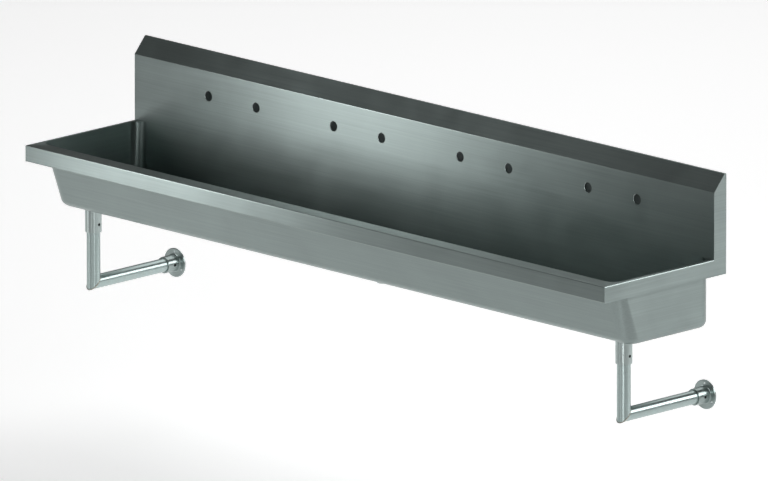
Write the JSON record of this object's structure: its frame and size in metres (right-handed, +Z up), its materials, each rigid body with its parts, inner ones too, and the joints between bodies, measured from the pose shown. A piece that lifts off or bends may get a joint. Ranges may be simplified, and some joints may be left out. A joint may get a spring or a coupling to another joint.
{
  "type": "trough sink",
  "caption": "Wall-hung stainless trough sink: long open bowl with a raked front, high splash with paired faucet holes, and bent tubular supports running back to the wall.",
  "frame": {"origin": "on the wall plane, at mid-length, in the middle of the wall rail's screw line; the rim's top is 0.1778 m below it", "axes": "+X along the length to the user's right, +Y into the wall, +Z up"},
  "size_m": [2.4384, 0.5271, 0.7366],
  "materials": {
    "sheet_steel": "satin brushed along the length",
    "rail_steel": "mill finish",
    "cast_steel": "satin turned",
    "tube_steel": "fine satin",
    "screw_steel": "dark plain",
    "drain_steel": "polished satin",
    "brass": "plain cast and turned",
    "rubber": "matte black",
    "fibre": "matte brown"
  },
  "bodies": {
    "sink": {"bowl_wrap": "sheet_steel", "left_bowl_end": "sheet_steel", "right_bowl_end": "sheet_steel", "front_rim": "sheet_steel", "left_end_cap": "sheet_steel", "right_end_cap": "sheet_steel", "splash_panel": "sheet_steel", "wall_rail": "rail_steel", "left_leg_socket": "cast_steel", "right_leg_socket": "cast_steel", "left_socket_screw": "screw_steel", "right_socket_screw": "screw_steel", "drain_body": "drain_steel", "drain_locknut": "brass", "drain_gasket": "rubber", "drain_slip_ring": "fibre"},
    "left_leg": {"left_upright_tube": "tube_steel", "left_wall_tube": "tube_steel"},
    "right_leg": {"right_upright_tube": "tube_steel", "right_wall_tube": "tube_steel"},
    "left_flange": {"left_wall_flange": "cast_steel", "left_flange_screw": "screw_steel"},
    "right_flange": {"right_wall_flange": "cast_steel", "right_flange_screw": "screw_steel"},
    "strainer": {"strainer_basket": "drain_steel", "strainer_knob": "drain_steel"}
  },
  "joints": [
    {"name": "left_leg_height", "type": "slide", "parent": "sink", "child": "left_leg", "axis": [0, 0, 1], "range_m": [-0.02, 0.011]},
    {"name": "right_leg_height", "type": "slide", "parent": "sink", "child": "right_leg", "axis": [0, 0, 1], "range_m": [-0.02, 0.011]},
    {"name": "left_flange_reach", "type": "slide", "parent": "left_leg", "child": "left_flange", "axis": [0, -1, 0], "range_m": [0, 0.012]},
    {"name": "right_flange_reach", "type": "slide", "parent": "right_leg", "child": "right_flange", "axis": [0, -1, 0], "range_m": [0, 0.012]},
    {"name": "strainer_lift", "type": "slide", "parent": "sink", "child": "strainer", "axis": [0, 0, 1], "range_m": [0, 0.045]}
  ]
}
